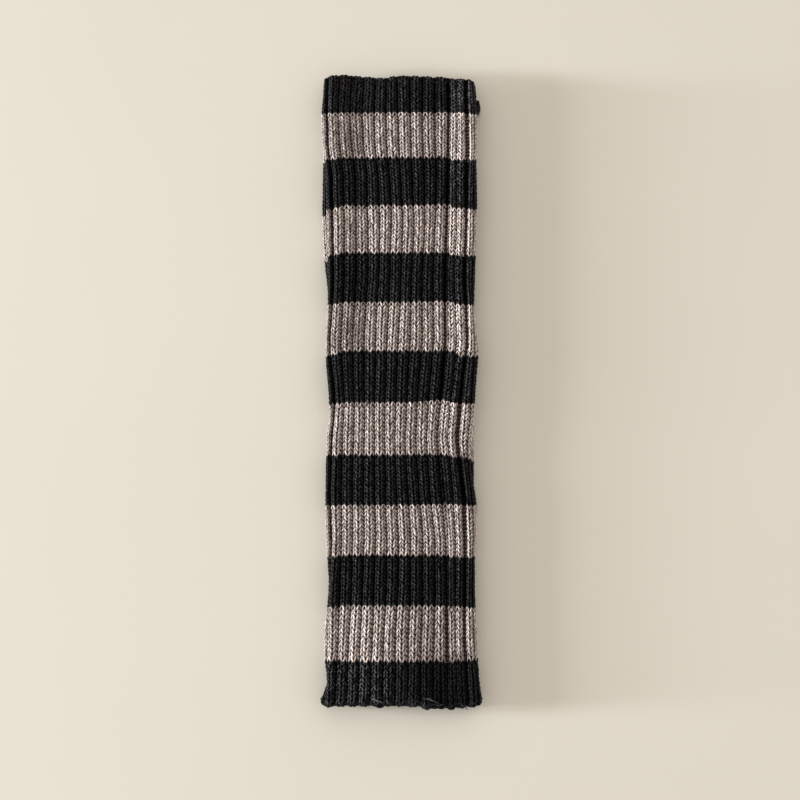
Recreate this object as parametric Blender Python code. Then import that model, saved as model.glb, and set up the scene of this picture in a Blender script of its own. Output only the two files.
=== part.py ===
"""Pair of striped rib-knit leg warmers, pressed flat and laid one on the other.

X runs across the tubes, +Y towards the ends worn at the knee, +Z up from the surface they lie on.
Each knitted stripe is one closed ring of cloth wall with an open slit through it, where the leg goes.
"""

import bpy
import numpy as np

MM = 0.001

# Sizes, in millimetres.
GAP = 0.3  # clear space between two pieces
WALL = 3.0  # thickness of the knitted wall, crest of a rib to the back of the cloth
THICKNESS = 7.0  # one leg warmer pressed flat: front wall, slit and back wall
LEAST_SLIT = 0.6  # the front and back walls come no closer than this
FOLD_REACH = 4.0  # how far a side fold rounds out past the flat underside
END_THINNING = 1.2  # how much thinner the cloth is at its two open ends
END_LENGTH = 6.0  # length of tube over which an open end thins out
CORNER_DROP = 3.0  # how far the corners of an open end round back

# Where a yarn line's drops begin and end.
LEFT_DROP_X = (-46.0, -34.0)
SEAM_DROP_FROM_X = 8.0
SEAM_SPREAD = 1.5  # the line steps down within this far to either side of the linked seam
RIGHT_DROP_X = (41.0, 47.0)
DROP_ROUND_FOLD = 2.4  # how much further out than the flat part a side fold counts for the drops

# How much of the lean of the ribs near the seam a rib takes that runs at each x.
LEAN_SHARES = {"x": (-25.0, 30.0, 42.0, 48.0), "share": (0.0, 1.0, 0.95, 0.4)}

# Where round the ring its points stand. 0 is the left fold and 1 the right fold of the flat part.
FRONT_STATIONS = {
    "upper": (
        0.0, 0.035, 0.07, 0.11, 0.17, 0.25, 0.34, 0.43, 0.52,
        0.61, 0.7, 0.79, 0.845, 0.88, 0.915, 0.945, 0.975, 1.0,
    ),
    "lower": (0.0, 0.05, 0.15, 0.3, 0.45, 0.6, 0.75, 0.88, 0.95, 1.0),
}
BACK_STATIONS = (1.0, 0.85, 0.68, 0.5, 0.32, 0.15, 0.0)
FOLD_ANGLES = (60.0, 30.0, 0.0, -30.0, -60.0)
SPANS = {"upper": 3, "lower": 2}  # lengths of wall between the two rims of a stripe

# Each row is the line where a new yarn starts, from the knee end to the foot end. The yarn named is the one that
# starts there. y is the line's place in the middle of the front, seam_x is where it crosses the linked seam, and
# the others say how far the line drops there.
YARN_LINES = {
    "columns": ("yarn", "y", "at_left_fold", "before_seam", "seam_x", "past_seam", "at_right_fold"),
    "upper": (
        ("black", 200.3, 0.2, 0.4, 31.5, 1.4, 2.4),
        ("taupe", 177.5, 0.5, -0.3, 31.5, 0.3, 0.9),
        ("black", 149.1, 1.3, -0.3, 31.5, 1.6, 1.4),
        ("taupe", 118.2, 2.9, -0.6, 33.0, 1.8, 2.4),
        ("black", 88.5, 2.0, 0.1, 33.0, 1.8, 2.1),
        ("taupe", 56.6, 1.9, -0.7, 34.0, 1.3, 2.0),
        ("black", 25.9, 3.5, 0.0, 36.3, 3.2, 3.5),
        ("taupe", -7.4, 1.5, -1.9, 31.0, 0.3, 1.0),
        ("black", -40.4, 0.3, -0.4, 31.5, 1.3, 4.6),
        ("taupe", -72.7, 0.5, -0.6, 31.5, -0.2, 0.3),
        ("black", -104.3, 1.1, 0.1, 31.0, 1.1, 1.4),
        ("taupe", -136.7, 1.6, 0.5, 31.0, 1.0, 1.5),
        ("black", -171.9, 0.0, 0.2, 36.0, -0.4, -0.9),
        ("end", -199.4, -0.4, 0.8, 33.5, 0.6, -0.2),
    ),
    "lower": (
        ("black", 192.0, 0.8, 0.0, 33.5, 2.0, 5.4),
        ("taupe", 177.6, 0.6, 0.0, 33.5, 0.6, 0.6),
        ("black", 147.4, 0.8, 0.0, 33.5, 0.8, 0.8),
        ("taupe", 112.8, 0.6, 0.0, 33.5, 1.0, 1.0),
        ("black", 84.0, 0.4, 0.0, 33.5, 0.8, 0.8),
        ("taupe", 52.0, 0.6, 0.0, 33.5, 1.0, 1.0),
        ("black", 21.4, 0.8, 0.0, 33.5, 0.8, 0.8),
        ("taupe", -11.6, 0.4, 0.0, 33.5, 0.6, 0.6),
        ("black", -44.6, 0.6, 0.0, 33.5, 0.6, 0.6),
        ("taupe", -77.2, 0.4, 0.0, 33.5, 0.6, 0.6),
        ("black", -108.6, 0.6, 0.0, 33.5, 0.4, 0.4),
        ("taupe", -141.2, 0.4, 0.0, 33.5, 0.6, 0.6),
        ("black", -176.0, 0.2, 0.0, 33.5, 0.4, 0.4),
        ("end", -200.4, 0.0, 0.0, 33.5, 0.2, 0.2),
    ),
}

# Each row is a place along the tube and how far the two side folds stand from its middle line.
SIDE_FOLDS = {
    "columns": ("y", "left", "right"),
    "upper": (
        (200.0, -48.6, 48.8),
        (192.0, -49.0, 49.1),
        (177.0, -50.2, 50.1),
        (160.0, -49.7, 49.8),
        (150.0, -47.8, 49.4),
        (119.0, -47.1, 50.0),
        (100.0, -46.6, 49.7),
        (89.0, -46.2, 48.9),
        (57.0, -46.1, 47.9),
        (42.0, -47.2, 49.4),
        (30.0, -47.6, 51.0),
        (20.0, -47.2, 50.3),
        (0.0, -45.6, 48.8),
        (-12.0, -45.2, 48.4),
        (-18.0, -45.2, 47.8),
        (-26.0, -46.9, 47.0),
        (-45.0, -47.4, 45.8),
        (-72.0, -47.6, 49.2),
        (-88.0, -47.4, 49.4),
        (-104.0, -46.4, 48.4),
        (-120.0, -45.7, 48.4),
        (-136.0, -46.6, 48.8),
        (-150.0, -48.2, 49.6),
        (-165.0, -48.5, 49.8),
        (-186.0, -47.1, 51.4),
        (-199.0, -50.8, 53.2),
    ),
    "lower": (
        (192.0, -46.6, 52.2),
        (184.0, -47.2, 52.4),
        (178.0, -48.1, 51.2),
        (172.0, -48.7, 50.4),
        (164.0, -49.0, 48.4),
        (150.0, -49.4, 47.6),
        (119.0, -50.0, 47.4),
        (89.0, -49.3, 47.0),
        (57.0, -45.4, 47.0),
        (26.0, -46.8, 48.0),
        (0.0, -45.0, 48.4),
        (-18.0, -44.8, 48.2),
        (-40.0, -47.0, 48.0),
        (-58.0, -47.2, 48.0),
        (-72.0, -47.3, 50.0),
        (-88.0, -47.1, 49.9),
        (-104.0, -46.2, 48.4),
        (-120.0, -45.6, 48.2),
        (-136.0, -46.6, 48.4),
        (-152.0, -48.0, 49.0),
        (-170.0, -48.2, 49.6),
        (-186.0, -46.8, 50.8),
        (-200.0, -49.6, 52.0),
    ),
}

# Each row is a soft ridge or trough on the front of the upper one: its line from (x_from, y_from) to (x_to, y_to),
# how wide it is to either side, how high it stands (less than 0 for a trough), and how it fades past its two ends.
FRONT_FOLDS = {
    "columns": ("name", "x_from", "y_from", "x_to", "y_to", "width", "height", "fade"),
    "upper": (
        ("left fold puff", -44.8, 205.0, -44.8, -205.0, 3.4, 0.7, 20.0),
        ("groove beside the left fold", -43.6, 150.0, -42.4, 0.0, 1.6, -0.8, 26.0),
        ("long trough", -26.0, 196.0, -24.0, 60.0, 7.5, -1.0, 55.0),
        ("dent in the first black stripe", -28.0, 190.0, -20.0, 186.0, 8.0, -0.5, 8.0),
        ("dent in the third black stripe", -28.0, 72.0, -22.0, 66.0, 8.0, -0.5, 12.0),
        ("broad crest", 8.0, 190.0, 6.0, -120.0, 15.0, 0.8, 60.0),
        ("lower left swell", -20.0, -60.0, -22.0, -190.0, 13.0, 0.5, 50.0),
        ("bulge beside the seam", 25.0, 60.0, 24.0, -60.0, 5.0, 0.4, 30.0),
        ("seam groove", 31.2, 192.0, 30.6, -70.0, 1.7, -1.0, 34.0),
        ("foot end of the seam groove", 30.2, -110.0, 31.0, -165.0, 1.7, -0.6, 20.0),
        ("ridge past the seam", 39.0, 180.0, 39.0, -60.0, 5.0, 0.9, 40.0),
        ("right fold puff", 46.0, 205.0, 47.0, -205.0, 3.2, 0.5, 20.0),
        ("rise to the right fold", 46.0, 205.0, 46.0, -10.0, 13.0, 0.6, 30.0),
        ("crest before the foot end", -2.0, -145.0, -2.0, -168.0, 22.0, 0.9, 16.0),
        ("hollow in the last black stripe", 20.0, -184.0, 30.0, -190.0, 17.0, -1.0, 9.0),
        ("lifted lip of the foot end", 18.0, -201.0, 24.0, -203.0, 9.0, 1.6, 4.0),
    ),
    "lower": (
        ("puff at the knee end corner", 49.0, 186.0, 49.0, 178.0, 3.0, -0.4, 8.0),
    ),
}

# Each row is a place along the front and how far the ribs near the seam stand to one side of their straight run there.
RIB_LEAN = {
    "columns": ("y", "shift"),
    "upper": (
        (165.0, 0.0),
        (104.0, -1.2),
        (48.0, -1.2),
        (34.0, -0.6),
        (10.0, -3.6),
        (-16.0, -6.8),
        (-30.0, -6.6),
        (-56.0, -3.4),
        (-88.0, -0.4),
        (-150.0, 0.0),
    ),
    "lower": ((0.0, 0.0),),
}

# Each row is one leg warmer: its name and the height of its underside.
LEG_WARMERS = (
    ("lower", 0.0),
    ("upper", THICKNESS + GAP),
)

# Each row is a yarn: its colour as shown in the viewport, in linear light, and how rough it is.
YARNS = {
    "black": ((0.012, 0.012, 0.012, 1.0), 0.9),
    "taupe": ((0.402, 0.319, 0.283, 1.0), 0.9),
}


def column(table, warmer, name):
    """One named column of a table, as numbers."""
    place = table["columns"].index(name)
    return np.array([row[place] for row in table[warmer]], float)


def eased(t):
    """0 to 1 with no kink at either end."""
    t = np.clip(t, 0.0, 1.0)
    return t * t * (3.0 - 2.0 * t)


def side_folds(warmer, y):
    """X of the left and the right side fold at y."""
    places = column(SIDE_FOLDS, warmer, "y")[::-1]
    return [np.interp(y, places, column(SIDE_FOLDS, warmer, side)[::-1]) for side in ("left", "right")]


def lean(warmer, x, y):
    """How far a rib that runs at x stands to one side at y."""
    shift = np.interp(y, column(RIB_LEAN, warmer, "y")[::-1], column(RIB_LEAN, warmer, "shift")[::-1])
    return shift * np.interp(x, LEAN_SHARES["x"], LEAN_SHARES["share"])


def front_height(warmer, x, y):
    """How far the ridges and troughs lift the front at (x, y)."""
    total = 0.0
    for _, x_from, y_from, x_to, y_to, width, height, fade in FRONT_FOLDS[warmer]:
        along = np.clip((y - y_from) / (y_to - y_from), 0.0, 1.0)
        rib_x = x_from + along * (x_to - x_from)
        across = x - rib_x - lean(warmer, rib_x, y)
        past = max(y - y_from, y_to - y, 0.0)
        total += height * np.exp(-((across / width) ** 2)) * np.exp(-((past / fade) ** 2))
    return total


def line_drop(row, x, back_share):
    """How far a yarn line drops at x on the front, or at a share of the way round the back from right to left."""
    _, _, left, before, seam_x, past, right = row
    if back_share is not None:
        return right + back_share * (left - right)
    places = (*LEFT_DROP_X, SEAM_DROP_FROM_X, seam_x - SEAM_SPREAD, seam_x + SEAM_SPREAD, *RIGHT_DROP_X)
    return np.interp(x, places, (left, 0.0, 0.0, before, past, past, right))


def end_share(warmer, y):
    """1 at an open end of the tube, easing to 0 further in."""
    lines = column(YARN_LINES, warmer, "y")
    return 1.0 - eased(min(lines[0] - y, y - lines[-1]) / END_LENGTH)


def ring(warmer, base, stripe, span):
    """The outer and the inner loop of points, where the stripe has come this many spans from its knee-end rim."""
    first, last = YARN_LINES[warmer][stripe : stripe + 2]
    spans = SPANS[warmer]
    share = span / spans
    middle_y = first[1] + share * (last[1] - first[1])
    inset = {0: -GAP / 2, spans: GAP / 2}.get(span, 0.0)
    left, right = side_folds(warmer, middle_y)
    flat_from, flat_to = left + FOLD_REACH, right - FOLD_REACH
    at_end = end_share(warmer, middle_y)
    outer, inner = [], []

    def add(x, turn, side, back_share):
        """One point of each loop. turn is -1 on the underside and 1 on the front; side is -1, 0 or 1."""
        bulge = side * np.sqrt(max(0.0, 1.0 - turn * turn))
        drops = [line_drop(row, x + DROP_ROUND_FOLD * bulge, back_share) for row in (first, last)]
        drop = drops[0] * (1 - share) + drops[1] * share
        y = middle_y - drop + inset - at_end * CORNER_DROP * bulge**4 * np.sign(middle_y)
        thick = THICKNESS - END_THINNING * at_end
        if back_share is None:
            thick += front_height(warmer, x, y)
        slit = max(LEAST_SLIT, thick - 2 * WALL)
        outer.append((x + bulge * FOLD_REACH, y, base + thick * (0.5 + 0.5 * turn)))
        inner.append((x + bulge * (FOLD_REACH - WALL), y, base + 0.5 * thick + 0.5 * slit * turn))

    for share_x in FRONT_STATIONS[warmer]:
        add(flat_from + share_x * (flat_to - flat_from), 1.0, 0, None)
    for angle in FOLD_ANGLES:
        add(flat_to, np.sin(np.radians(angle)), 1, None)
    for share_x in BACK_STATIONS:
        add(flat_from + share_x * (flat_to - flat_from), -1.0, 0, 1.0 - share_x)
    for angle in FOLD_ANGLES[::-1]:
        add(flat_from, np.sin(np.radians(angle)), -1, None)
    return outer, inner


def ring_mesh(name, loops):
    """A closed tube wall from (outer, inner) loops in order from one rim to the other."""
    count = len(loops[0][0])
    points = [point for outer, inner in loops for point in outer + inner]
    faces = []
    for span in range(len(loops) - 1):
        here, there = span * 2 * count, (span + 1) * 2 * count
        for i in range(count):
            j = (i + 1) % count
            faces.append((here + j, here + i, there + i, there + j))
            faces.append((here + count + i, here + count + j, there + count + j, there + count + i))
    last = (len(loops) - 1) * 2 * count
    for i in range(count):
        j = (i + 1) % count
        faces.append((i, j, count + j, count + i))
        faces.append((last + j, last + i, last + count + i, last + count + j))
    mesh = bpy.data.meshes.new(name)
    mesh.from_pydata([tuple(MM * value for value in point) for point in points], [], faces)
    mesh.shade_smooth()
    return mesh


def yarn_material(yarn):
    """The plain fabric material of one yarn."""
    colour, roughness = YARNS[yarn]
    material = bpy.data.materials.new(yarn + "_yarn")
    material.use_nodes = True
    shader = material.node_tree.nodes["Principled BSDF"]
    shader.inputs["Base Color"].default_value = colour
    shader.inputs["Roughness"].default_value = roughness
    return material


def knit_leg_warmer(warmer, base):
    """One object for each stripe of this leg warmer."""
    for stripe, row in enumerate(YARN_LINES[warmer][:-1]):
        yarn = row[0]
        name = f"{warmer}_stripe_{stripe + 1:02d}_{yarn}"
        mesh = ring_mesh(name, [ring(warmer, base, stripe, span) for span in range(SPANS[warmer] + 1)])
        mesh.materials.append(yarn_material(yarn))
        bpy.context.scene.collection.objects.link(bpy.data.objects.new(name, mesh))


def centre_on_the_surface():
    """Moves the meshes so that the middle of their box stands on the origin."""
    meshes = [obj.data for obj in bpy.context.scene.objects]
    points = np.array([vertex.co for mesh in meshes for vertex in mesh.vertices])
    low, high = points.min(axis=0), points.max(axis=0)
    shift = (low + high) / 2
    for mesh in meshes:
        for vertex in mesh.vertices:
            vertex.co.x -= shift[0]
            vertex.co.y -= shift[1]


def main():
    for obj in list(bpy.data.objects):
        bpy.data.objects.remove(obj)
    for warmer, base in LEG_WARMERS:
        knit_leg_warmer(warmer, base)
    centre_on_the_surface()


main()
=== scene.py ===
"""The looks of two striped rib-knit leg warmers, pressed flat, one on the other, on a pale floor.

X runs across the tubes, +Y towards the ends worn at the knee, +Z up. Sizes in the tables are in millimetres.
A place on the cloth is given by its rib, counted round the tube from the left side fold over the front, and
its stripe, counted from the knee end. Both may be fractions.
"""

import math

import bpy
import numpy as np
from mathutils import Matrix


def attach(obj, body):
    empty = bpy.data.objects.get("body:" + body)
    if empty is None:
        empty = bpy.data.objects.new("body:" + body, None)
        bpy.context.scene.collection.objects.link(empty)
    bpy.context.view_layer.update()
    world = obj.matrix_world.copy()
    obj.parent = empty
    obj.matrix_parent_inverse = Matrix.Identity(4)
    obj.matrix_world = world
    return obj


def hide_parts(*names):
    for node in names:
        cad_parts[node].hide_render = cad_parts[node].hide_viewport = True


bl_info = {
    "name": "Striped rib leg warmers",
    "version": (1, 0, 0),
    "blender": (4, 5, 0),
    "location": "3D View > Sidebar > Leg warmers",
    "description": "Knits the stitches, cloth and edges of two leg warmers over their packed frame",
    "category": "Mesh",
}

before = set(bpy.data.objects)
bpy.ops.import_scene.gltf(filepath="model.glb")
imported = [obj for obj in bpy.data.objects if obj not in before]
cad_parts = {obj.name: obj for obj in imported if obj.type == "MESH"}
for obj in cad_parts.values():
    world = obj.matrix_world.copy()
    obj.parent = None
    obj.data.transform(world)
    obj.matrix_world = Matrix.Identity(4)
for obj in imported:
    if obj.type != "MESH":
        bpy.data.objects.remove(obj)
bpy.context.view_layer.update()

MM = 0.001
CENTRE = (1.2, -0.15)  # the middle of the pair in the tables' numbers, which stands on the origin

# The frame's own sizes, repeated here because its source can't be read.
WALL = 3.0
THICKNESS = 7.0  # height of one tube pressed flat
LEAST_SLIT = 0.6
FOLD_REACH = 4.0  # how far a side fold reaches past the flat part
QUARTER_FOLD = 5.9  # length of cloth round a quarter of a side fold
END_THINNING = 1.2
END_LENGTH = 6.0  # how far in from a rim the ends thin and their corners drop
CORNER_DROP = 3.0
LEFT_DROP_X = (-46.0, -34.0)  # where across the front the lines between stripes drop towards the left fold
SEAM_DROP_FROM_X = 8.0
SEAM_SPREAD = 1.5
RIGHT_DROP_X = (41.0, 47.0)
DROP_ROUND_FOLD = 2.4
LEAN_SHARES = {"x": (-25.0, 30.0, 42.0, 48.0), "share": (0.0, 1.0, 0.95, 0.4)}

# Each row is the line that a stripe starts at: its yarn, its y, and how far it drops at four places across,
# with the seam's own x.
YARN_LINES = {
    "columns": ("yarn", "y", "at_left_fold", "before_seam", "seam_x", "past_seam", "at_right_fold"),
    "upper": (
        ("black", 200.3, 0.2, 0.4, 31.5, 1.4, 2.4),
        ("taupe", 177.5, 0.5, -0.3, 31.5, 0.3, 0.9),
        ("black", 149.1, 1.3, -0.3, 31.5, 1.6, 1.4),
        ("taupe", 118.2, 2.9, -0.6, 33, 1.8, 2.4),
        ("black", 88.5, 2, 0.1, 33, 1.8, 2.1),
        ("taupe", 56.6, 1.9, -0.7, 34, 1.3, 2),
        ("black", 25.9, 3.5, 0, 36.3, 3.2, 3.5),
        ("taupe", -7.4, 1.5, -1.9, 31, 0.3, 1),
        ("black", -40.4, 0.3, -0.4, 31.5, 1.3, 4.6),
        ("taupe", -72.7, 0.5, -0.6, 31.5, -0.2, 0.3),
        ("black", -104.3, 1.1, 0.1, 31, 1.1, 1.4),
        ("taupe", -136.7, 1.6, 0.5, 31, 1, 1.5),
        ("black", -171.9, 0, 0.2, 36, -0.4, -0.9),
        ("end", -199.4, -0.4, 0.8, 33.5, 0.6, -0.2),
    ),
    "lower": (
        ("black", 192, 0.8, 0, 33.5, 2, 5.4),
        ("taupe", 177.6, 0.6, 0, 33.5, 0.6, 0.6),
        ("black", 147.4, 0.8, 0, 33.5, 0.8, 0.8),
        ("taupe", 112.8, 0.6, 0, 33.5, 1, 1),
        ("black", 84, 0.4, 0, 33.5, 0.8, 0.8),
        ("taupe", 52, 0.6, 0, 33.5, 1, 1),
        ("black", 21.4, 0.8, 0, 33.5, 0.8, 0.8),
        ("taupe", -11.6, 0.4, 0, 33.5, 0.6, 0.6),
        ("black", -44.6, 0.6, 0, 33.5, 0.6, 0.6),
        ("taupe", -77.2, 0.4, 0, 33.5, 0.6, 0.6),
        ("black", -108.6, 0.6, 0, 33.5, 0.4, 0.4),
        ("taupe", -141.2, 0.4, 0, 33.5, 0.6, 0.6),
        ("black", -176, 0.2, 0, 33.5, 0.4, 0.4),
        ("end", -200.4, 0, 0, 33.5, 0.2, 0.2),
    ),
}

SIDE_FOLDS = {
    "columns": ("y", "left", "right"),
    "upper": (
        (200, -48.6, 48.8), (192, -49, 49.1), (177, -50.2, 50.1), (160, -49.7, 49.8), (150, -47.8, 49.4),
        (119, -47.1, 50), (100, -46.6, 49.7), (89, -46.2, 48.9), (57, -46.1, 47.9), (42, -47.2, 49.4),
        (30, -47.6, 51), (20, -47.2, 50.3), (0, -45.6, 48.8), (-12, -45.2, 48.4), (-18, -45.2, 47.8),
        (-26, -46.9, 47), (-45, -47.4, 45.8), (-72, -47.6, 49.2), (-88, -47.4, 49.4), (-104, -46.4, 48.4),
        (-120, -45.7, 48.4), (-136, -46.6, 48.8), (-150, -48.2, 49.6), (-165, -48.5, 49.8),
        (-186, -47.1, 51.4), (-199, -50.8, 53.2),
    ),
    "lower": (
        (192, -46.6, 52.2), (184, -47.2, 52.4), (178, -48.1, 51.2), (172, -48.7, 50.4), (164, -49, 48.4),
        (150, -49.4, 47.6), (119, -50, 47.4), (89, -49.3, 47), (57, -45.4, 47), (26, -46.8, 48),
        (0, -45, 48.4), (-18, -44.8, 48.2), (-40, -47, 48), (-58, -47.2, 48), (-72, -47.3, 50),
        (-88, -47.1, 49.9), (-104, -46.2, 48.4), (-120, -45.6, 48.2), (-136, -46.6, 48.4), (-152, -48, 49),
        (-170, -48.2, 49.6), (-186, -46.8, 50.8), (-200, -49.6, 52),
    ),
}

FRONT_FOLDS = {
    "columns": ("name", "x_from", "y_from", "x_to", "y_to", "width", "height", "fade"),
    "upper": (
        ("left fold puff", -44.8, 205, -44.8, -205, 3.4, 0.7, 20),
        ("groove beside the left fold", -43.6, 150, -42.4, 0, 1.6, -0.8, 26),
        ("long trough", -26, 196, -24, 60, 7.5, -1, 55),
        ("dent in the first black stripe", -28, 190, -20, 186, 8, -0.5, 8),
        ("dent in the third black stripe", -28, 72, -22, 66, 8, -0.5, 12),
        ("broad crest", 8, 190, 6, -120, 15, 0.8, 60),
        ("lower left swell", -20, -60, -22, -190, 13, 0.5, 50),
        ("bulge beside the seam", 25, 60, 24, -60, 5, 0.4, 30),
        ("seam groove", 31.2, 192, 30.6, -70, 1.7, -1, 34),
        ("foot end of the seam groove", 30.2, -110, 31, -165, 1.7, -0.6, 20),
        ("ridge past the seam", 39, 180, 39, -60, 5, 0.9, 40),
        ("right fold puff", 46, 205, 47, -205, 3.2, 0.5, 20),
        ("rise to the right fold", 46, 205, 46, -10, 13, 0.6, 30),
        ("crest before the foot end", -2, -145, -2, -168, 22, 0.9, 16),
        ("hollow in the last black stripe", 20, -184, 30, -190, 17, -1, 9),
        ("lifted lip of the foot end", 18, -201, 24, -203, 9, 1.6, 4),
    ),
    "lower": (
        ("puff at the knee end corner", 49, 186, 49, 178, 3, -0.4, 8),
    ),
}

RIB_LEAN = {
    "columns": ("y", "shift"),
    "upper": (
        (165, 0), (104, -1.2), (48, -1.2), (34, -0.6), (10, -3.6), (-16, -6.8), (-30, -6.6), (-56, -3.4),
        (-88, -0.4), (-150, 0),
    ),
    "lower": ((0, 0),),
}

# Each row is a place along the tube and where some of the valleys between the front's ribs run there. Ribs
# between two columns share the width evenly. Valley 1 is the first on the left fold, 14 the one on the right.
RIB_VALLEYS = {
    "columns": ("y", 1, 4, 7, 10, 11, 12, 13, 14),
    "upper": (
        (200, -46.4, -22.7, -1.7, 22, 30.8, 36, 42, 47),
        (178, -47.2, -24.2, -1.5, 22.2, 31, 36.4, 42.8, 48.2),
        (157, -46.2, -23.4, -1, 22.2, 30.9, 36.4, 43, 48),
        (138, -43.6, -21.2, 0.3, 23, 30.6, 36.2, 42.4, 47.6),
        (108, -43.6, -20.4, 1.9, 22.6, 30, 36, 42.2, 47.4),
        (73, -43, -20.6, 0.5, 20.8, 28.4, 34.6, 41.2, 46.6),
        (34, -45.4, -23.1, -1.1, 21.4, 29.2, 36, 42.8, 48.2),
        (-6, -42, -22.8, -3, 18, 25.6, 32.4, 38.2, 45.6),
        (-30, -43.8, -23, -3.3, 16.4, 23.4, 30.6, 36.2, 43),
        (-64, -45.2, -23.4, -2.5, 18.9, 26.2, 33.3, 40.5, 46.2),
        (-92, -44.2, -23.2, -1.2, 22, 28.6, 35.2, 41.8, 47.4),
        (-128, -46, -24.3, -1.8, 21.8, 29.9, 35.4, 41, 46.8),
        (-160, -47, -25.8, -3.5, 21.2, 30, 35.2, 41.2, 48),
        (-199, -48.8, -27.6, -3.5, 20.5, 30.6, 37, 43.4, 50.8),
    ),
    "lower": (
        (192, -45.6, -24.4, -3.2, 18, 25.4, 34, 42.4, 50.4),
        (184, -45.6, -24.4, -3.2, 18, 25.4, 34, 42.2, 50),
        (168, -46, -24.4, -3.2, 18, 25.1, 32.2, 39.6, 47),
        (119, -46.6, -25, -3.4, 18.2, 24.8, 31.4, 38.4, 45.4),
        (57, -43.2, -22.6, -2, 18.6, 25.2, 31.8, 38.4, 45),
        (-60, -45, -23.8, -2.6, 18.6, 25.6, 32.6, 39.9, 47.2),
        (-200, -47.4, -25.4, -3.4, 18.6, 26.2, 33.8, 41.8, 49.8),
    ),
}
FRONT_RIBS = 13
LEFT_RIB = 6.2  # width of the rib that turns over the left fold
OVER_FOLD_DEPTH = 0.3  # share of its depth that the valley outside that rib keeps, stretched over the fold
RIBS_ROUND = 27
USUAL_RIB = 7.3  # width of a rib whose valleys have their full depth
SHALLOWER = 0.08  # share of its depth that a valley loses for each millimetre that its ribs are narrower
DEPTH_LIMITS = (0.8, 1.1)
DEEPEST = 0.62  # share of the wall that the deepest valley takes
FLANKS = (2.0, 2.7)  # how late the left and the right flank of a rib fall away
PATCH_FLATTENING = 0.7  # share of the ribs' height that goes where a patch takes all their relief
LEAST_ALONG = 0.15  # the cloth is crushed at the rims' corners, but 1/50 of a stripe stays this long
VALLEY_STEP = 3.0  # how far apart along the tube the valleys are worked out
VALLEY_END = 210.0

# Rows of stitches in each stripe, from the knee end.
COURSES = (10, 13, 13, 13, 13, 13, 13, 13, 13, 13, 13, 12, 10)

# The cloth shell of a stripe, which lies 1 mm lower under stitches.
POINTS_PER_RIB = 6
ROWS_DOWN = (0.0, 0.25, 0.5, 0.75, 1.0)  # where its rows of points lie, as shares of its height
ROWS_FROM_RIM = (0.0, 0.06, 0.14, 0.3, 0.65, 1.0)  # the same in a stripe with an open end, counted from it
SHELL_INSET = 0.05  # how far it ends short of the line where it meets the next
LEAST_UNDER = 0.1
VALLEY_UNDER = 0.2  # share of that depth in the valleys, where nothing covers it
LEAST_SHELL = 0.5
INSIDE_SHADE = -2.0  # depth that its inside is shaded by
SHELL_STRIPS = ((0.02, 0.56), (0.58, 0.8), (0.82, 0.89), (0.91, 0.98))  # its faces' places in a baked picture

# Each row is a valley that shows a gap of purl stitches: which one, counted from 0 on the left fold, the
# stripes where it does, counted from 0, how wide the gap is and how much deeper the valley lies.
PURL_GAPS = {
    "columns": ("valley", "from_stripe", "to_stripe", "width", "deeper"),
    "upper": (
        (0, 0, 9, 1.5, 0.4), (10, 0, 6, 0.6, 0.3), (10, 11, 11, 1.3, 0.3), (12, 0, 2, 2, 0.3),
        (12, 3, 6, 1.2, 0.3), (12, 7, 9, 1.9, 0.3), (12, 10, 12, 1.3, 0.3),
    ),
    "lower": (),
}

# The ribs that are knitted stitch by stitch. The rest face the floor or the other leg warmer.
STITCHED_RIBS = {"upper": tuple(range(-1, FRONT_RIBS + 1)), "lower": (-1, 0, 12, 13)}

EVEN_RIB = 7.4  # width of a rib whose stitches lie just as the rows of STITCH_SIDES say
GATHER_LIMITS = (0.9, 1.6)
FLANK_GATHER, MIDDLE_GATHER = 0.35, 0.85  # how much the flanks and the middle V make of a narrow rib
ACROSS_LIMITS = (-0.47, 0.5)
TURNED_AT_FOOT = 0.06  # how far the ribs have turned on their side by the foot end, as a share of a rib
THINNED_BELOW = 6.4  # the yarn is drawn thinner in ribs narrower than this
THINNEST = 0.86
LEAST_IN = 0.02  # how far in from an open end every point of a stitch stays, in courses

# The tubes that strands are drawn as, and where one lies in a square of its own in a baked picture: where its
# length and its way round start and how long they are, then its two ends' middles and half sizes.
STITCH_TUBE_SIDES, PURL_TUBE_SIDES, LOOSE_TUBE_SIDES = 5, 4, 6
END_TAPER = 0.62  # thickness at their two ends, as a share of the rest
BAKED_LENGTH, BAKED_ROUND = (0.12, 0.84), (0.04, 0.92)
BAKED_ENDS_U, BAKED_ENDS_V, BAKED_END_SIZE = 0.05, (0.27, 0.73), (0.035, 0.14)

# How much one stitch differs from the next: along the rib in courses, across it in ribs, in its thickness as
# a share of it, and in its height.
UNEVEN = {"along": 0.08, "across": 0.014, "thickness": 0.07, "height": 0.12}

# Each row is one side of a stitch: where across its rib it starts, at the foot side, where it ends, and where
# its ends meet those of its neighbours on the first and on the last course of a stripe.
STITCH_SIDES = (
    ("left flank", 0.06, 0.21, 0.26, 0.02),
    ("left of the middle V", 0.475, 0.31, 0.26, 0.54),
    ("right of the middle V", 0.605, 0.77, 0.82, 0.54),
    ("right flank", 1, 0.87, 0.82, 1),
)

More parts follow.
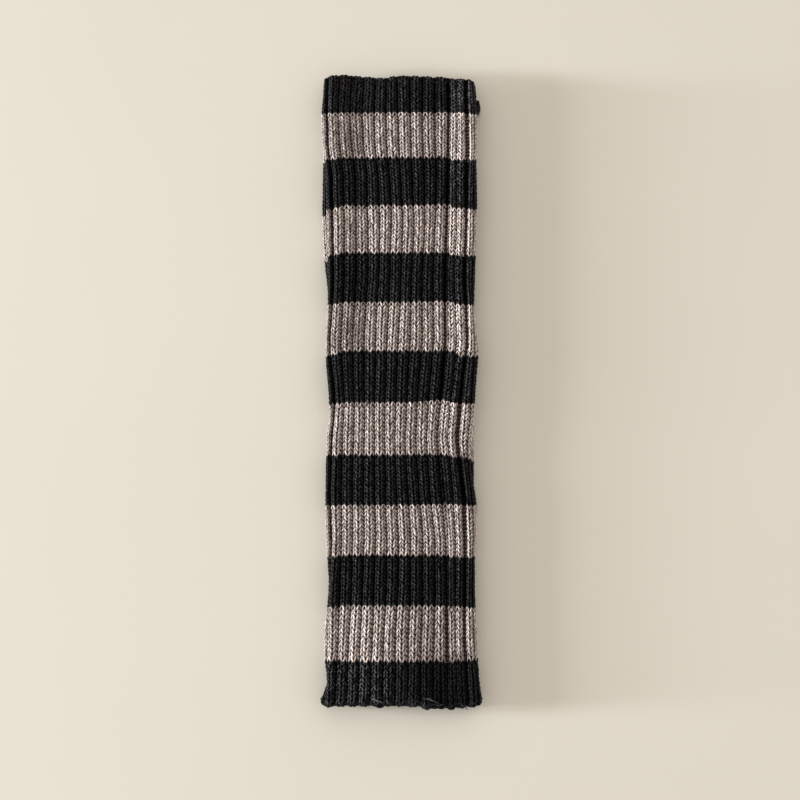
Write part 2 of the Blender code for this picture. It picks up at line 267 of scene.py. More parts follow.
# Each row is a point of one side of a stitch: how many courses towards the knee, how much of the way across
# it has leaned, and how far above the top of the rib its middle lies, its own radius aside. The first and the
# last course of a stripe close into small arches, because no stitch of the same colour covers them.
FOOT_END_OF_LEG = ((-0.52, 0, -1.2), (-0.36, 0.05, -0.5))
KNEE_END_OF_LEG = ((0.76, 1, -0.34), (1.02, 0.98, -1))
STITCH_PATHS = {
    "plain": (*FOOT_END_OF_LEG, (-0.02, 0.34, -0.02), (0.38, 0.74, 0), *KNEE_END_OF_LEG),
    "first": (*FOOT_END_OF_LEG, (-0.02, 0.16, -0.02), (0.38, 0.28, 0), (0.7, 0.55, -0.04), (0.9, 1, -0.12)),
    "last": ((-0.58, 0, -0.14), (-0.4, 0.4, -0.06), (-0.02, 0.62, -0.02), (0.38, 0.82, 0), *KNEE_END_OF_LEG),
}
PLAIN, FIRST, LAST = range(3)

# Each row is a point of a purl bump in a wide valley: how far across in millimetres, how many courses towards
# the foot, and how far above the floor, less the sink.
PURL_PATH = ((-0.95, -0.25, -0.75), (-0.45, 0.2, -0.3), (0.45, 0.2, -0.3), (0.95, -0.25, -0.75))
PURL_RADIUS = 0.46
PURL_SINK = 0.42
PURL_GAP_FOR_BUMPS = 1.0  # a valley shows its purl bumps where its gap is wider than this
PURL_BUMP_GAP = 2.4  # width of gap that the rows of PURL_PATH are for

# Each yarn has in "fold" the colour of the painted shade that it darkens towards down in the folds, and in
# "left" how much of its own colour is left under that painted shade 1 mm down. That depth is the ribs', the
# stitch's in the knit and the cloth's in the holes between stitches, each times its shade. Then the darkest
# and the lightest that a stitch can be, how speckled the yarn is, and its surface.
YARNS = {
    "black": {
        "fold": "010102", "left": 0.08, "rib_shade": 0.5, "stitch_shade": 1.9, "hole_shade": 2.5,
        "darkest": 0.1, "lightest": 2.2, "speckle": 3.6,
        "roughness": 0.5, "gloss": 0.12, "sheen": 0, "sheen_tint": (0.6, 0.6, 0.6, 1),
    },
    "taupe": {
        "fold": "28140C", "left": 0.31, "rib_shade": 0.35, "stitch_shade": 1.8, "hole_shade": 2.9,
        "darkest": 0.5, "lightest": 1.48, "speckle": 1,
        "roughness": 0.88, "gloss": 0.25, "sheen": 0.15, "sheen_tint": (1, 0.93, 0.9, 1),
    },
}

FIBRES = (3800.0, 3.0, 0.6)  # scale, detail and roughness of the noise that stands for the yarn's fibres

# Each row is a chain of thick stitches along an open end: which end, how far out past the rim, how far above
# the face, length and width of one chain stitch, radius of its yarn.
EDGE_CHAINS = (
    ("knee", -0.75, -0.30, 2.9, 3.2, 0.56),
    ("knee", -0.35, -1.90, 2.4, 1.6, 0.66),
    ("foot", -0.10, -0.20, 3.7, 2.2, 0.84),
    ("foot", -0.45, -2.00, 3.6, 2, 0.84),
)
USUAL_WIDTH = 97.0  # of a tube laid flat, between its side folds
SCALLOP = {"knee": 0.15, "foot": 0.45}  # how far the chains reach further out at each rib
CHAIN_PLACE = 0.012  # how far in from a rim the cloth under its chains is taken, in stripes
CHAIN_SPREAD = (0.12, 0.42)  # how far from its middle a chain stitch starts, and how much further it gets
CHAIN_RELIEF = 0.9  # how much of a plain stitch's relief a chain stitch has
CHAIN_UNEVEN = {"along": 0.04, "height": 0.1}

# Each row is a place across an open end of the upper one's front and how far its rim waves out there.
END_WAVES = {
    "knee": (
        (-46, 0.4), (-38, 1.4), (-30, 0.8), (-19, -0.2), (-12.4, -0.9), (-7, -0.6), (-3, 0.6),
        (45, -0.2),
    ),
    "foot": (
        (-46, 0.8), (-38, -0.1), (-15, -0.6), (-13.4, 1.4), (-11, 1.6), (-9.4, -1), (-5, -1.4),
        (3, 0), (14, 0.1), (17.5, 1.7), (21, 1.3), (24, 0.4), (33, 1.3), (39, 0.4), (48, 0.4),
    ),
}

# Each row is a loose strand at the upper one's foot end: its points, its radius and how deep in the cloth it
# is shaded.
LOOSE_STRANDS = (
    (((38.6, -198.6, 12.4), (40.4, -200.6, 12.2), (42.2, -201.4, 11.8), (43.6, -203, 11.4)), 0.28, 0),
    (((-18.6, -195.2, 12.6), (-16.4, -195.8, 13.4), (-13.6, -197.2, 13.2), (-10.4, -198.6, 12)), 0.7, 0),
    (((14.6, -195.6, 12.8), (18.6, -195.6, 13.7), (21.8, -197, 13.6), (25.4, -199.2, 12.6)), 0.7, 0),
    (((1, -197.4, 12.2), (7, -196.6, 13), (12, -197.2, 13), (16.4, -198.6, 12.2)), 0.8, 2.2),
)

# Each row is a patch on the upper one's front where the cloth is stretched flatter, or its yarn painted
# darker or
# paler, than the rest: its middle, its half width and height, the share of the ribs' relief gone, and how
# much deeper it is shaded.
PATCHES = (
    (-31, 190, 10.5, 17, 0.7, 1.05),
    (-30, 163, 14, 14, 0, 0.25),
    (-32, 42, 14, 16, 0, 0.25),
    (40, 85, 9.5, 115, 0, -0.2),
    (40, 190, 10, 13, 0, -0.6),
    (40, 138, 10, 13, 0, -0.25),
    (-47, 189, 4, 14, 0, -0.4),
    (-30, -153, 18, 17, 0, -0.2),
    (-25, -186, 22, 17, 0, -0.5),
    (3, -190, 7.5, 18, 0.75, 1.15),
    (32.5, -188, 15.5, 19, 1, 2.6),
)
LEFT_FOLD_SHADE = 0.5  # how much deeper the left fold's outside is painted in shade, turned down away from the light

# Each row is a leg warmer: its name and the height of its underside. There are 0.3 mm between the two.
LEG_WARMERS = (
    ("lower", 0),
    ("upper", THICKNESS + 0.3),
)

ROOM_COLOUR = (1.0, 0.92, 0.845, 1.0)
ROOM_LIGHT, ROOM_RISE_TO_KNEE = 0.94, 0.6
LAMP_COLOUR = (0.955, 0.988, 1.0)
WINDOW_RISE, WINDOW_AWAY = math.radians(12.5), 2.2
WINDOW_PLACE = (-WINDOW_AWAY * math.cos(WINDOW_RISE), 0.0, WINDOW_AWAY * math.sin(WINDOW_RISE))
# Each row is a lamp: its name, kind and place, how steeply its light comes down, its energy, and its size's
# name and value.
LAMPS = (
    ("window_light", "AREA", WINDOW_PLACE, WINDOW_RISE, 48.0, "size", 0.28),
    ("low_window_light", "SUN", (-1.0, 0.0, 0.5), math.radians(5.0), 5.0, "angle", math.radians(7.0)),
)
CAMERA_PLACE = (-0.0009, -0.00495, 1.2143)
CAMERA_LENS = 84.77


class Colours(bpy.types.PropertyGroup):
    """Colours of the two yarns and of the floor."""

    black_yarn: bpy.props.StringProperty(name="Black yarn", description="sRGB hex", default="3C3B3E")
    taupe_yarn: bpy.props.StringProperty(name="Taupe yarn", description="sRGB hex", default="E6DAD6")
    floor: bpy.props.StringProperty(name="Floor", description="sRGB hex", default="CCC9BF")


class Knit(bpy.types.PropertyGroup):
    """Sizes of the yarn and of the ribs."""

    yarn_radius: bpy.props.FloatProperty(
        name="Yarn radius", description="Half the yarn's thickness", default=0.60 * MM, unit="LENGTH"
    )
    rib_depth: bpy.props.FloatProperty(
        name="Rib depth", description="Depth of the valley between two ribs", default=1.3 * MM, unit="LENGTH"
    )
    unevenness: bpy.props.FloatProperty(
        name="Unevenness", description="How much stitches differ", default=1.0, subtype="FACTOR"
    )


def column(table, warmer, name):
    """One named column of a table, as numbers."""
    place = table["columns"].index(name)
    return np.array([row[place] for row in table[warmer]], float)


def between(t, start, end):
    """0 at start to 1 at end, and no further."""
    return np.clip((t - start) / (end - start), 0.0, 1.0)


def eased(t):
    """0 to 1 with no kink at either end."""
    t = np.clip(t, 0.0, 1.0)
    return t * t * (3.0 - 2.0 * t)


def joined(parts):
    """Each place of the parts, which are rows of arrays, as one long array."""
    return [np.concatenate(each) for each in zip(*parts)]


class PressedTube:
    """The form of one leg warmer pressed flat: where any place on its cloth lies."""

    def __init__(self, warmer, base, rib_depth):
        self.warmer, self.base, self.rib_depth = warmer, base, rib_depth
        self.line_y = column(YARN_LINES, warmer, "y")
        self.valley_y = np.arange(-VALLEY_END, VALLEY_END + 1, VALLEY_STEP)
        self.valleys = self.valley_places(self.valley_y)

    def yarn(self, stripe):
        """The yarn of a stripe."""
        return YARN_LINES[self.warmer][stripe][0]

    def node(self, stripe):
        """The frame's node of a stripe."""
        return f"{self.warmer}_stripe_{stripe + 1:02d}_{self.yarn(stripe)}"

    def at_line(self, name, stripe):
        """One named column of the yarns' lines at a stripe, worked out between them."""
        lines = column(YARN_LINES, self.warmer, name)
        return np.interp(stripe, np.arange(len(lines)), lines)

    def at_y(self, table, name, y):
        """One named column of a table at y, worked out between its rows."""
        return np.interp(y, column(table, self.warmer, "y")[::-1], column(table, self.warmer, name)[::-1])

    def folds(self, y):
        """X of the left and the right side fold at y."""
        return [self.at_y(SIDE_FOLDS, side, y) for side in ("left", "right")]

    def valley_places(self, y):
        """For each y, how far round the tube each valley lies, from the left fold right round to it again."""
        left, right = self.folds(y)
        flat_from, span = left + FOLD_REACH, right - left - 2 * FOLD_REACH
        known = RIB_VALLEYS["columns"][1:]
        at_known = np.array([self.at_y(RIB_VALLEYS, number, y) for number in known])
        front = np.array([np.interp(np.arange(1, FRONT_RIBS + 2), known, line) for line in at_known.T])
        front -= flat_from[:, None]
        before = np.clip(-front / FOLD_REACH, 0.0, 1.0)
        past = np.clip((front - span[:, None]) / FOLD_REACH, 0.0, 1.0)
        front = np.where(before > 0, -QUARTER_FOLD * np.arcsin(before) / (math.pi / 2), front)
        front = np.where(past > 0, span[:, None] + QUARTER_FOLD * np.arcsin(past) / (math.pi / 2), front)
        full_turn = 2 * span[:, None] + 4 * QUARTER_FOLD + front[:, :1]
        steps = np.arange(1, RIBS_ROUND - FRONT_RIBS) / (RIBS_ROUND - FRONT_RIBS - 1)
        back = front[:, -1:] + (full_turn - LEFT_RIB - front[:, -1:]) * steps
        return np.concatenate([front, back, full_turn], axis=1)

    def round_the_tube(self, rib, y):
        """How far round the tube a rib coordinate lies at y, and the width of that rib."""
        turns = np.floor(rib / RIBS_ROUND)
        rib = rib - turns * RIBS_ROUND
        number = np.minimum(rib.astype(int), RIBS_ROUND - 1)
        row = np.clip((y - self.valley_y[0]) / VALLEY_STEP, 0, len(self.valley_y) - 1.001)
        low = row.astype(int)
        share = row - low
        start = self.valleys[low, number] * (1 - share) + self.valleys[low + 1, number] * share
        end = self.valleys[low, number + 1] * (1 - share) + self.valleys[low + 1, number + 1] * share
        # Knitted and pressed by hand, the lines of the ribs wander by about 0.2 mm.
        turn = rib * 2 * math.pi / RIBS_ROUND
        wander = 0.10 * np.sin(5 * turn + y / 9.0 + self.base) + 0.12 * np.sin(8 * turn - y / 14.0 + 1.3)
        return start + (rib - number) * (end - start) + wander, end - start

    def valley_depth(self, rib, y):
        """How deep the valley is that a rib coordinate, rounded to a whole number, stands for."""
        _, before = self.round_the_tube(rib - 0.5, y)
        _, after = self.round_the_tube(rib + 0.5, y)
        over_fold = np.where(rib % RIBS_ROUND == RIBS_ROUND - 1, OVER_FOLD_DEPTH, 1.0)
        shallower = SHALLOWER * (USUAL_RIB - (before + after) / 2)
        return self.rib_depth * over_fold * np.clip(1.0 - shallower, *DEPTH_LIMITS)

    def purl_gap(self, valley, stripe):
        """How wide the gap of purl stitches in a valley is, and how much deeper the valley lies there."""
        valley = valley % RIBS_ROUND
        wide, deeper = np.zeros(np.shape(valley)), np.zeros(np.shape(valley))
        for number, first, last, width, depth in PURL_GAPS[self.warmer]:
            here = (valley == number) & (stripe >= first) & (np.floor(stripe) <= last)
            wide, deeper = np.where(here, width, wide), np.where(here, depth, deeper)
        return wide, deeper

    def crest_share(self, rib, side, stripe):
        """How much of one side of a rib's width the raised part takes. side is less than 0 on the left."""
        wide, _ = self.purl_gap(np.floor(rib) + (side > 0), stripe)
        return 1.0 - wide / self.rib_width(np.floor(rib) + 0.5, stripe)

    def lean(self, x, y):
        """How far a rib that runs at x stands to one side at y."""
        return self.at_y(RIB_LEAN, "shift", y) * np.interp(x, LEAN_SHARES["x"], LEAN_SHARES["share"])

    def front_height(self, x, y):
        """How far the ridges and troughs lift the front at (x, y)."""
        total = np.zeros(np.shape(x))
        for _, x_from, y_from, x_to, y_to, width, height, fade in FRONT_FOLDS[self.warmer]:
            rib_x = x_from + between(y, y_from, y_to) * (x_to - x_from)
            across = x - rib_x - self.lean(rib_x, y)
            past = np.maximum(np.maximum(y - y_from, y_to - y), 0.0)
            total += height * np.exp(-((across / width) ** 2)) * np.exp(-((past / fade) ** 2))
        return total

    def end_wave(self, x, y):
        """How far the rim of the nearer open end waves out at x."""
        if self.warmer == "lower":
            return np.zeros(np.shape(x))
        knee, foot = (np.interp(x, *zip(*END_WAVES[end])) for end in ("knee", "foot"))
        return np.where(y > 0, knee, foot)

    def patches(self, x, y, on_back):
        """How much of the ribs' relief is gone at (x, y), and how much deeper the yarn is shaded."""
        relief_gone, deeper = np.zeros(np.shape(x)), np.zeros(np.shape(x))
        for middle_x, middle_y, wide, tall, gone, depth in PATCHES * (self.warmer == "upper"):
            here = np.exp(-(((x - middle_x) / wide) ** 4) - ((y - middle_y) / tall) ** 4) * ~on_back
            relief_gone += gone * here
            deeper += depth * here
        return relief_gone, deeper

    def shaded_depth(self, points, depths):
        """The depths that points are shaded by, with the patches and the left fold."""
        x, y, z = np.moveaxis(points, -1, 0)
        relief_gone, deeper = self.patches(x, y, z < self.base + THICKNESS / 2)
        over_fold = between(x, self.folds(y)[0] + FOLD_REACH, self.folds(y)[0])
        return depths * (1.0 - relief_gone) - deeper - LEFT_FOLD_SHADE * over_fold

    def at(self, rib, stripe, lift=0.0, ribbed=True):
        """Points of the wall's outside and inside, its thickness, and how far the outside is lifted.

        The lift is less than 0 in the valleys between the ribs.
        """
        rib, stripe, lift = np.broadcast_arrays(np.asarray(rib, float), np.asarray(stripe, float), lift)
        middle_y = self.at_line("y", stripe)
        left, right = self.folds(middle_y)
        flat_from, flat_to = left + FOLD_REACH, right - FOLD_REACH
        span = flat_to - flat_from
        total = 2 * span + 4 * QUARTER_FOLD
        round_it, _ = self.round_the_tube(rib, middle_y)
        s = (round_it + 2 * QUARTER_FOLD) % total - 2 * QUARTER_FOLD
        on_back = s > span + 2 * QUARTER_FOLD
        quarter = np.where(s > span, 1 - (s - span) / QUARTER_FOLD, 1.0)
        angle = np.clip(np.where(s < 0, 1 + s / QUARTER_FOLD, quarter), -1.0, 1.0) * math.pi / 2
        side = np.where(s < 0, -1.0, 1.0) * ((s < 0) | (s > span))
        bulge, turn = side * np.cos(angle), np.sin(angle)
        front_x = np.clip(flat_from + s, flat_from, flat_to)
        x = np.where(on_back, flat_to - (s - span - 2 * QUARTER_FOLD), front_x)

        drops = [self.at_line(name, stripe) for name in YARN_LINES["columns"][2:]]
        left_drop, before_seam, seam_x, past_seam, right_drop = drops
        x_out = x + DROP_ROUND_FOLD * bulge
        seam_from, seam_to = seam_x - SEAM_SPREAD, seam_x + SEAM_SPREAD
        front_drop = left_drop * between(x_out, *LEFT_DROP_X[::-1])
        front_drop += before_seam * between(x_out, SEAM_DROP_FROM_X, seam_from)
        front_drop += (past_seam - before_seam) * between(x_out, seam_from, seam_to)
        front_drop += (right_drop - past_seam) * between(x_out, *RIGHT_DROP_X)
        back_drop = right_drop + (flat_to - x) / span * (left_drop - right_drop)
        at_end = 1.0 - eased(np.minimum(self.line_y[0] - middle_y, middle_y - self.line_y[-1]) / END_LENGTH)
        corner = at_end * (CORNER_DROP * bulge**4 - np.where(on_back, 0.0, self.end_wave(x_out, middle_y)))
        y = middle_y - np.where(on_back, back_drop, front_drop) - corner * np.sign(middle_y)

        thick = THICKNESS - END_THINNING * at_end + np.where(on_back, 0.0, self.front_height(x, y))
        slit = np.maximum(LEAST_SLIT, thick - 2 * WALL)
        wall = 0.5 * (thick - slit)
        if ribbed:
            valley = np.round(rib)
            across = (rib - np.floor(rib) - 0.5) * 2.0
            across = across / self.crest_share(rib, across, stripe)
            depth = self.valley_depth(valley, middle_y) + self.purl_gap(valley, stripe)[1]
            depth = np.minimum(depth, DEEPEST * wall)
            depth = depth * (1.0 - PATCH_FLATTENING * self.patches(x, middle_y, on_back)[0])
            flank = np.where(across > 0, FLANKS[1], FLANKS[0])
            lift = lift - depth * np.minimum(np.abs(across), 1.0) ** flank
        z = self.base + thick * (0.5 + 0.5 * turn)
        outer = np.stack([x + bulge * (FOLD_REACH + lift), y, z + lift * turn], axis=-1)
        inner_z = self.base + 0.5 * thick + 0.5 * slit * turn
        inner = np.stack([x + bulge * (FOLD_REACH - WALL), y, inner_z], axis=-1)
        return outer, inner, wall, lift

    def cloth_directions(self, rib, stripe):
        """Unit vectors outwards from the ribbed cloth."""
        across = self.at(rib + 0.02, stripe)[0] - self.at(rib - 0.02, stripe)[0]
        along = self.at(rib, stripe - 0.01)[0] - self.at(rib, stripe + 0.01)[0]
        along[..., 1] = np.maximum(along[..., 1], LEAST_ALONG)
        outward = np.cross(across, along)
        return outward / np.linalg.norm(outward, axis=-1, keepdims=True)

    def rib_width(self, rib, stripe):
        """Width of the rib at a place, in millimetres."""
        return self.round_the_tube(np.asarray(rib, float), self.at_line("y", stripe))[1]


def faces_between(rings, around):
    """The corners of the faces between closed rings of points, and each face's ring and place round it."""
    ring, here = np.meshgrid(np.arange(rings - 1), np.arange(around), indexing="ij")
    next_one = (here + 1) % around
    top, foot = ring * around, (ring + 1) * around
    return np.stack([top + here, foot + here, foot + next_one, top + next_one], -1), ring, here


def new_piece(name, points, corners, starts, material, maps, values):
    """One smooth mesh object from millimetre points, with its UV maps and its values for each point.

    corners are the points of all faces in turn, and starts says where each face's begin.
    """
    mesh = bpy.data.meshes.new(name)
    mesh.vertices.add(len(points))
    mesh.vertices.foreach_set("co", ((points - (*CENTRE, 0.0)) * MM).astype(np.float32).ravel())
    mesh.loops.add(len(corners))
    mesh.loops.foreach_set("vertex_index", corners.astype(np.int32))
    mesh.polygons.add(len(starts))
    mesh.polygons.foreach_set("loop_start", starts.astype(np.int32))
    for map_name, coordinates in maps.items():
        layer = mesh.uv_layers.new(name=map_name)
        layer.uv.foreach_set("vector", coordinates.astype(np.float32).ravel())
    for value_name, numbers in values.items():
        attribute = mesh.attributes.new(value_name, "FLOAT", "POINT")
        attribute.data.foreach_set("value", numbers.astype(np.float32))
    mesh.update(calc_edges=True)
    mesh.validate()
    mesh.shade_smooth()
    mesh.materials.append(material)
    piece = bpy.data.objects.new(name, mesh)
    bpy.context.scene.collection.objects.link(piece)
    return piece


def strand_piece(name, groups, yarn, material):
    """One piece of closed tubes.

    Each group is its paths, which have as many points each, their outward directions, the depths they are
    shaded by, their radii and how many sides a tube has.
    """
    count = sum(len(group[0]) for group in groups)
    cells = math.ceil(math.sqrt(count))
    parts = []
    first_strand = first_point = first_corner = 0
    shade = np.random.default_rng(count).random(count)
    for paths, outward, sunk, radii, sides in groups:
        n, k, _ = paths.shape
        along = np.gradient(paths, axis=1)
        along /= np.linalg.norm(along, axis=-1, keepdims=True)
        aside = np.cross(along, outward)
        aside /= np.linalg.norm(aside, axis=-1, keepdims=True)
        up = np.cross(aside, along)
        turn = (np.arange(sides) + 0.25) * 2 * math.pi / sides
        taper = np.ones(k)
        taper[[0, -1]] = END_TAPER
        thick = (radii[:, None] * taper)[:, :, None, None]
        rings = np.cos(turn)[:, None] * aside[:, :, None] + np.sin(turn)[:, None] * up[:, :, None]
        points = (paths[:, :, None] + thick * rings).reshape(-1, 3)
        # Painted shade: each strand's underside is shaded deeper than its top.
        depths = (sunk[:, :, None] + YARNS[yarn]["stitch_shade"] * thick[..., 0] * np.sin(turn)).ravel()

        quads, ring, side = faces_between(k, sides)
        caps = np.concatenate([np.arange(sides), (k - 1) * sides + np.arange(sides)[::-1]])
        face_corners = np.concatenate([quads.ravel(), caps])
        face_sizes = np.concatenate([np.full(ring.size, 4), [sides, sides]])
        number = np.arange(n)[:, None]
        corners = (face_corners + number * k * sides).ravel() + first_point
        face_starts = np.concatenate([[0], np.cumsum(face_sizes)[:-1]])
        starts = (face_starts + number * len(face_corners)).ravel() + first_corner

        length = np.linalg.norm(np.diff(paths, axis=1), axis=-1).mean(axis=0)
        run = np.concatenate([[0.0], np.cumsum(length)])
        quad_u = np.stack([ring, ring + 1, ring + 1, ring], -1).reshape(-1, 4)
        quad_v = np.stack([side, side, side + 1, side + 1], -1).reshape(-1, 4)
        side_u = BAKED_LENGTH[0] + BAKED_LENGTH[1] * quad_u / (k - 1)
        side_v = BAKED_ROUND[0] + BAKED_ROUND[1] * quad_v / sides
        cap_u = BAKED_ENDS_U + BAKED_END_SIZE[0] * np.cos(turn)
        cap_v = BAKED_END_SIZE[1] * np.sin(turn)
        local_u = np.concatenate([side_u.ravel(), cap_u, cap_u[::-1]])
        local_v = np.concatenate([side_v.ravel(), BAKED_ENDS_V[0] + cap_v, BAKED_ENDS_V[1] + cap_v[::-1]])
        cell = first_strand + number
        bake = np.stack([cell % cells + local_u, cell // cells + local_v], -1).reshape(-1, 2) / cells
        cap_turn = turn / (2 * math.pi)
        strand_u = np.concatenate([run[quad_u].ravel(), np.zeros(sides), np.full(sides, run[-1])])
        strand_v = np.concatenate([(quad_v / sides).ravel(), cap_turn, cap_turn[::-1]])
        strand = np.tile(np.stack([strand_u, strand_v], -1), (n, 1))
        tones = np.repeat(shade[cell], k * sides)
        parts.append((points, corners, starts, bake, strand, tones, depths))
        first_strand += n
        first_point += len(points)
        first_corner += len(corners)
    points, corners, starts, bake, strand, tones, depths = joined(parts)
    maps, values = {"OFBake": bake, "Strand": strand}, {"tone": tones, "depth": depths}
    return new_piece(name, points, corners, starts, material, maps, values)


def cloth_shell(tube, stripe, material):
    """The wall of one stripe: its ribbed outside, its plain inside and its two rims."""
    look = YARNS[tube.yarn(stripe)]
    at_foot = tuple(1.0 - share for share in ROWS_FROM_RIM[::-1])
    rows = np.array({0: ROWS_FROM_RIM, len(COURSES) - 1: at_foot}.get(stripe, ROWS_DOWN))
    inset = SHELL_INSET / (tube.line_y[stripe] - tube.line_y[stripe + 1])
    rib = np.arange(RIBS_ROUND * POINTS_PER_RIB + 1) / POINTS_PER_RIB
    places = stripe + inset + rows[:, None] * (1 - 2 * inset)
    rib_grid, place_grid = np.broadcast_arrays(rib[None, :-1], places)
    stitched = [number % RIBS_ROUND for number in STITCHED_RIBS[tube.warmer]]
    under = np.isin(np.floor(rib_grid), stitched) * 1.0
    under = LEAST_UNDER + (under + np.roll(under, 2, axis=1) + np.roll(under, -2, axis=1)) / 3
    under = under * np.where(rib_grid == np.floor(rib_grid), VALLEY_UNDER, 1.0)
    outer, inner, wall, sunk = tube.at(rib_grid, place_grid)
    outward = tube.cloth_directions(rib_grid, place_grid)
    under = np.minimum(under, np.maximum(wall - LEAST_SHELL + sunk, LEAST_UNDER))
    outer = outer - outward * under[..., None]
    _, deeper = tube.purl_gap(np.round(rib_grid), place_grid)
    # Painted shade: darker where the ribs sink, under the stitches and in the purl gaps.
    depths = tube.shaded_depth(outer, look["rib_shade"] * sunk - look["hole_shade"] * (under + deeper))
    depths = np.concatenate([depths.ravel(), np.full(sunk.size, INSIDE_SHADE)])

    count, around = len(rows), len(rib) - 1
    points = np.concatenate([outer.reshape(-1, 3), inner.reshape(-1, 3)])
    outside, _, _ = faces_between(count, around)
    inside, last = count * around, (count - 1) * around
    j = np.arange(around)
    k = (j + 1) % around
    knee_rim = np.stack([j, k, inside + k, inside + j], -1)
    foot_rim = last + np.stack([k, j, inside + j, inside + k], -1)
    faces = (outside, outside[..., ::-1] + inside, knee_rim, foot_rim)
    # Baked in four strips: outside, inside and the two rims. The knit is drawn by ribs and rows of stitches.
    u, u_next = rib[:-1], rib[1:]
    wide = np.stack([u, u, u_next, u_next], -1)
    down = np.stack([rows[:-1], rows[1:], rows[1:], rows[:-1]], -1)
    strip_u = np.broadcast_to(wide[None], (count - 1, around, 4))
    strip_v = np.broadcast_to(down[:, None], (count - 1, around, 4))
    rim_u = np.stack([u, u_next, u_next, u], -1)
    rim_v = np.concatenate([np.zeros((around, 2)), np.ones((around, 2))], -1)
    all_u = (strip_u, strip_u[..., ::-1], rim_u, rim_u[..., [1, 0, 3, 2]])
    bake, knit = [], []
    for face_u, face_v, (low, high) in zip(all_u, (strip_v, strip_v, rim_v, rim_v), SHELL_STRIPS):
        bake.append(np.stack([face_u / RIBS_ROUND, low + face_v * (high - low)], -1).reshape(-1, 2))
        knit.append(np.stack([face_u, face_v * COURSES[stripe]], -1).reshape(-1, 2))
    corners = np.concatenate([face.reshape(-1, 4) for face in faces])
    maps = {"OFBake": np.concatenate(bake), "Knit": np.concatenate(knit)}
    starts = np.arange(len(corners)) * 4
    name = tube.node(stripe) + "_cloth"
    shell = new_piece(name, points, corners.ravel(), starts, material, maps, {"depth": depths})
    shell.data.set_sharp_from_angle(angle=math.radians(60))
    return shell


def yarn_depth(yarn, sunk, lift):
    """The depth that a yarn is shaded by, where its rib is sunk and its own middle is lifted off it."""
    return YARNS[yarn]["rib_shade"] * sunk + YARNS[yarn]["stitch_shade"] * lift


def stitch_paths(tube, stripe, knit, rng):
    """The two sides of every knit stitch of one stripe, as a group for strand_piece."""
    courses = COURSES[stripe]
    numbers = np.arange(courses)
    kinds = np.where(numbers == 0, FIRST, np.where(numbers == courses - 1, LAST, PLAIN))
    columns = []
    for number in STITCHED_RIBS[tube.warmer]:
        for _, low, high, first_meets, last_meets in STITCH_SIDES:
            starts = np.where(kinds == LAST, last_meets, low) - 0.5
            ends = np.where(kinds == FIRST, first_meets, high) - 0.5
            columns.append((np.full(courses, number), numbers + 0.5, starts, ends, kinds))
    rib, course, start, end, kind = (each[:, None] for each in joined(columns))
    toward_knee, leaned, depth = np.moveaxis(np.array(list(STITCH_PATHS.values()))[kind[:, 0]], -1, 0)
    along, aside, thicker, lower = rng.normal(0.0, 1.0, (4, len(rib), 1)) * knit.unevenness
    at_course = course - toward_knee + UNEVEN["along"] * along
    place = np.clip(stripe + at_course / courses, LEAST_IN / courses, len(COURSES) - LEAST_IN / courses)
    width = tube.rib_width(rib + 0.5, stripe + course / courses)
    left_share, right_share = (tube.crest_share(rib, side, stripe + 0.5) for side in (-1.0, 1.0))
    width = width * (left_share + right_share) / 2
    # The cloth keeps its width: on a narrow rib the middle V takes more of it, and the flanks turn down.
    gather = np.clip(EVEN_RIB / width, *GATHER_LIMITS)
    on_flank = np.abs(start + end) > 0.4
    gather = np.where(on_flank, gather**FLANK_GATHER, gather**MIDDLE_GATHER)
    across = (start + (end - start) * leaned) * gather
    turned = TURNED_AT_FOOT * (stripe + course / courses) / len(COURSES)
    across = np.clip(across + turned + UNEVEN["across"] * aside, *ACROSS_LIMITS)
    rib_at = rib + 0.5 + across * np.where(across > 0, right_share, left_share)
    radii = knit.yarn_radius / MM * (1.0 + UNEVEN["thickness"] * thicker)
    radii = radii * np.clip(width / THINNED_BELOW, THINNEST, 1.0)
    lift = depth - radii - UNEVEN["height"] * np.abs(lower)
    outward = tube.cloth_directions(rib_at, place)
    surface, _, _, sunk = tube.at(rib_at, place)
    depths = tube.shaded_depth(surface, yarn_depth(tube.yarn(stripe), sunk, lift))
    return surface + outward * lift[..., None], outward, depths, radii[:, 0], STITCH_TUBE_SIDES


def purl_paths(tube, stripe, rng):
    """The small bumps of purl stitches in the wide valleys of one stripe, as groups for strand_piece."""
    courses = COURSES[stripe]
    columns = []
    for number, first, last, wide, _ in PURL_GAPS[tube.warmer]:
        if first <= stripe <= last and wide > PURL_GAP_FOR_BUMPS:
            for side in (-0.25, 0.25):
                columns.append([np.full(courses, value) for value in (number, side * wide, wide)])
    if not columns:
        return []
    valley, offset, gap = (each[:, None] for each in joined(columns))
    course = np.tile(np.arange(courses) + 0.5, len(columns))[:, None] + np.where(offset > 0, 0.5, 0.0)
    course = course + UNEVEN["along"] * rng.normal(size=course.shape)
    across, down, depth = np.array(PURL_PATH).T
    width = tube.rib_width(valley + 0.5, stripe + course / courses)
    rib_at = valley + (offset + across * gap / PURL_BUMP_GAP) / width
    place = np.clip(stripe + (course + down) / courses, 0.0, len(COURSES))
    floor_at = np.broadcast_to(valley + offset / width, rib_at.shape)
    outward = tube.cloth_directions(floor_at, place)
    level = tube.at(rib_at, place, ribbed=False)[0]
    floor, _, _, sunk = tube.at(floor_at, place)
    lift = depth - PURL_SINK
    paths = level + floor - tube.at(floor_at, place, ribbed=False)[0] + outward * lift[:, None]
    depths = yarn_depth(tube.yarn(stripe), sunk, lift)
    return [(paths, outward, depths, np.full(len(paths), PURL_RADIUS), PURL_TUBE_SIDES)]


